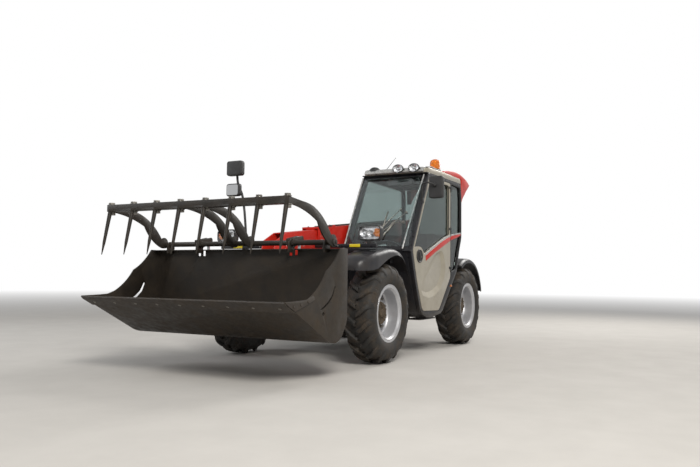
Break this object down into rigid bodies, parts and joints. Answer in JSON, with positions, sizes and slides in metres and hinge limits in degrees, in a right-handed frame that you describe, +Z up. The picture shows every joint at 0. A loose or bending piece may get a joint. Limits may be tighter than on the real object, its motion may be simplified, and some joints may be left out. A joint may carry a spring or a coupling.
{
  "type": "telehandler",
  "caption": "Farm telehandler with a side cab, a low telescopic boom, four-wheel steering and a wide grab bucket with a tined top clamp.",
  "frame": {"origin": "middle of the machine's length and width on the ground, under the bounding box", "axes": "+X forward towards the bucket, +Y to the machine's left where the cab is, +Z up"},
  "size_m": [5.995, 2.86, 2.67],
  "materials": {
    "red_paint": "satin",
    "black_paint": "satin",
    "beige_paint": "satin",
    "bucket_paint": "matte",
    "rim_paint": "satin",
    "tyre_rubber": "matte",
    "clear_glass": "gloss",
    "lamp_lens": "gloss",
    "amber_plastic": "gloss",
    "tail_lens": "gloss",
    "fender_plastic": "matte",
    "seat_fabric": "matte",
    "dash_plastic": "matte",
    "cast_parts": "matte",
    "rod_chrome": "polished",
    "pipe_steel": "satin"
  },
  "bodies": {
    "machine": {"frame_left": "black_paint", "frame_right": "black_paint", "frame_cross": "black_paint", "boom_pin": "cast_parts", "engine_block": "cast_parts", "front_axle": "cast_parts", "rear_axle": "cast_parts", "counterweight": "black_paint", "tow_hitch": "black_paint", "rear_lamps": "tail_lens", "driveline": "cast_parts", "cab_frame": "black_paint", "cab_tub": "black_paint", "cab_roof": "beige_paint", "windscreen": "clear_glass", "cab_side_glass": "clear_glass", "seat": "seat_fabric", "dash_and_wheel": "dash_plastic", "front_fenders": "fender_plastic", "rear_fenders": "fender_plastic", "lamp_rails": "black_paint", "headlamps": "lamp_lens", "work_lamps": "lamp_lens", "beacon": "amber_plastic", "roof_fairing": "red_paint", "mirrors": "fender_plastic", "engine_bay": "black_paint", "exhaust": "pipe_steel"},
    "door": {"door_panel": "beige_paint", "door_glass": "clear_glass"},
    "hood": {"hood_lid": "red_paint"},
    "knuckle_front_left": {"knuckle_front_left": "cast_parts"},
    "wheel_front_left": {"tyre_front_left": "tyre_rubber", "rim_front_left": "rim_paint"},
    "knuckle_front_right": {"knuckle_front_right": "cast_parts"},
    "wheel_front_right": {"tyre_front_right": "tyre_rubber", "rim_front_right": "rim_paint"},
    "knuckle_rear_left": {"knuckle_rear_left": "cast_parts"},
    "wheel_rear_left": {"tyre_rear_left": "tyre_rubber", "rim_rear_left": "rim_paint"},
    "knuckle_rear_right": {"knuckle_rear_right": "cast_parts"},
    "wheel_rear_right": {"tyre_rear_right": "tyre_rubber", "rim_rear_right": "rim_paint"},
    "boom": {"outer_boom": "red_paint"},
    "boom_extension": {"inner_boom": "red_paint"},
    "tool_carriage": {"carriage": "black_paint", "bucket": "bucket_paint"},
    "grab": {"grab": "bucket_paint"},
    "lift_ram_barrel": {"lift_ram_barrel": "black_paint"},
    "lift_ram_rod": {"lift_ram_rod": "rod_chrome"},
    "tilt_ram_barrel": {"tilt_ram_barrel": "black_paint"},
    "tilt_ram_rod": {"tilt_ram_rod": "rod_chrome"},
    "grab_ram_barrels": {"grab_ram_barrels": "black_paint"},
    "grab_ram_rods": {"grab_ram_rods": "rod_chrome"}
  },
  "joints": [
    {"name": "steer_front_left", "type": "hinge", "parent": "machine", "child": "knuckle_front_left", "pos_m": [0.6025, 0.8, 0.585], "axis": [0, 0, 1], "range_deg": [-35, 35]},
    {"name": "wheel_front_left", "type": "hinge", "parent": "knuckle_front_left", "child": "wheel_front_left", "pos_m": [0.6025, 0.985, 0.585], "axis": [0, 1, 0], "continuous": true},
    {"name": "steer_front_right", "type": "hinge", "parent": "machine", "child": "knuckle_front_right", "pos_m": [0.6025, -0.8, 0.585], "axis": [0, 0, 1], "range_deg": [-35, 35]},
    {"name": "wheel_front_right", "type": "hinge", "parent": "knuckle_front_right", "child": "wheel_front_right", "pos_m": [0.6025, -0.985, 0.585], "axis": [0, 1, 0], "continuous": true},
    {"name": "steer_rear_left", "type": "hinge", "parent": "machine", "child": "knuckle_rear_left", "pos_m": [-2.2125, 0.8, 0.585], "axis": [0, 0, 1], "range_deg": [-35, 35]},
    {"name": "wheel_rear_left", "type": "hinge", "parent": "knuckle_rear_left", "child": "wheel_rear_left", "pos_m": [-2.2125, 0.985, 0.585], "axis": [0, 1, 0], "continuous": true},
    {"name": "steer_rear_right", "type": "hinge", "parent": "machine", "child": "knuckle_rear_right", "pos_m": [-2.2125, -0.8, 0.585], "axis": [0, 0, 1], "range_deg": [-35, 35]},
    {"name": "wheel_rear_right", "type": "hinge", "parent": "knuckle_rear_right", "child": "wheel_rear_right", "pos_m": [-2.2125, -0.985, 0.585], "axis": [0, 1, 0], "continuous": true},
    {"name": "door_swing", "type": "hinge", "parent": "machine", "child": "door", "pos_m": [-1.4625, 1.145, 1.5], "axis": [0, 0, 1], "range_deg": [0, 100]},
    {"name": "hood_swing", "type": "hinge", "parent": "machine", "child": "hood", "pos_m": [-0.845, -0.212, 1.328], "axis": [-1, 0, 0], "range_deg": [0, 55]},
    {"name": "boom_lift", "type": "hinge", "parent": "machine", "child": "boom", "pos_m": [-2.4475, 0, 1.78], "axis": [0, -1, 0], "range_deg": [-4.5, 60]},
    {"name": "boom_extend", "type": "slide", "parent": "boom", "child": "boom_extension", "axis": [0.9942, 0, -0.108], "range_m": [0, 2.2]},
    {"name": "carriage_tilt", "type": "hinge", "parent": "boom_extension", "child": "tool_carriage", "pos_m": [1.6525, 0, 0.66], "axis": [0, 1, 0], "range_deg": [-12, 105]},
    {"name": "grab_swing", "type": "hinge", "parent": "tool_carriage", "child": "grab", "pos_m": [1.9325, 0, 1.362], "axis": [0, -1, 0], "range_deg": [-33, 45]},
    {"name": "lift_ram_barrel_swing", "type": "hinge", "parent": "machine", "child": "lift_ram_barrel", "pos_m": [-1.8975, 0, 0.7], "axis": [0, -1, 0], "range_deg": [-5, 50]},
    {"name": "lift_ram_rod_slide", "type": "slide", "parent": "lift_ram_barrel", "child": "lift_ram_rod", "axis": [0.9226, 0, 0.3859], "range_m": [-0.09, 1.148]},
    {"name": "tilt_ram_barrel_swing", "type": "hinge", "parent": "boom_extension", "child": "tilt_ram_barrel", "pos_m": [0.50206, 0, 1.44952], "axis": [0, 1, 0], "range_deg": [-2, 6]},
    {"name": "tilt_ram_rod_slide", "type": "slide", "parent": "tilt_ram_barrel", "child": "tilt_ram_rod", "axis": [0.9281, 0, -0.3723], "range_m": [-0.076, 0.63]},
    {"name": "grab_ram_barrels_swing", "type": "hinge", "parent": "tool_carriage", "child": "grab_ram_barrels", "pos_m": [1.7625, 0, 0.752], "axis": [0, -1, 0], "range_deg": [-2, 3]},
    {"name": "grab_ram_rods_slide", "type": "slide", "parent": "grab_ram_barrels", "child": "grab_ram_rods", "axis": [0.0151, 0, 0.9999], "range_m": [-0.129, 0.096]}
  ],
  "couplings": [
    {"joint": "steer_front_right", "follows": "steer_front_left", "ratio": 1},
    {"joint": "steer_rear_right", "follows": "steer_rear_left", "ratio": 1},
    {"joint": "lift_ram_barrel_swing", "follows": "boom_lift", "ratio": 0.81318},
    {"joint": "lift_ram_rod_slide", "follows": "boom_lift", "m_per_rad": 1.0921},
    {"joint": "tilt_ram_barrel_swing", "follows": "carriage_tilt", "ratio": 0.0422},
    {"joint": "tilt_ram_rod_slide", "follows": "carriage_tilt", "m_per_rad": 0.3414},
    {"joint": "grab_ram_barrels_swing", "follows": "grab_swing", "ratio": 0.029},
    {"joint": "grab_ram_rods_slide", "follows": "grab_swing", "m_per_rad": -0.1595}
  ]
}
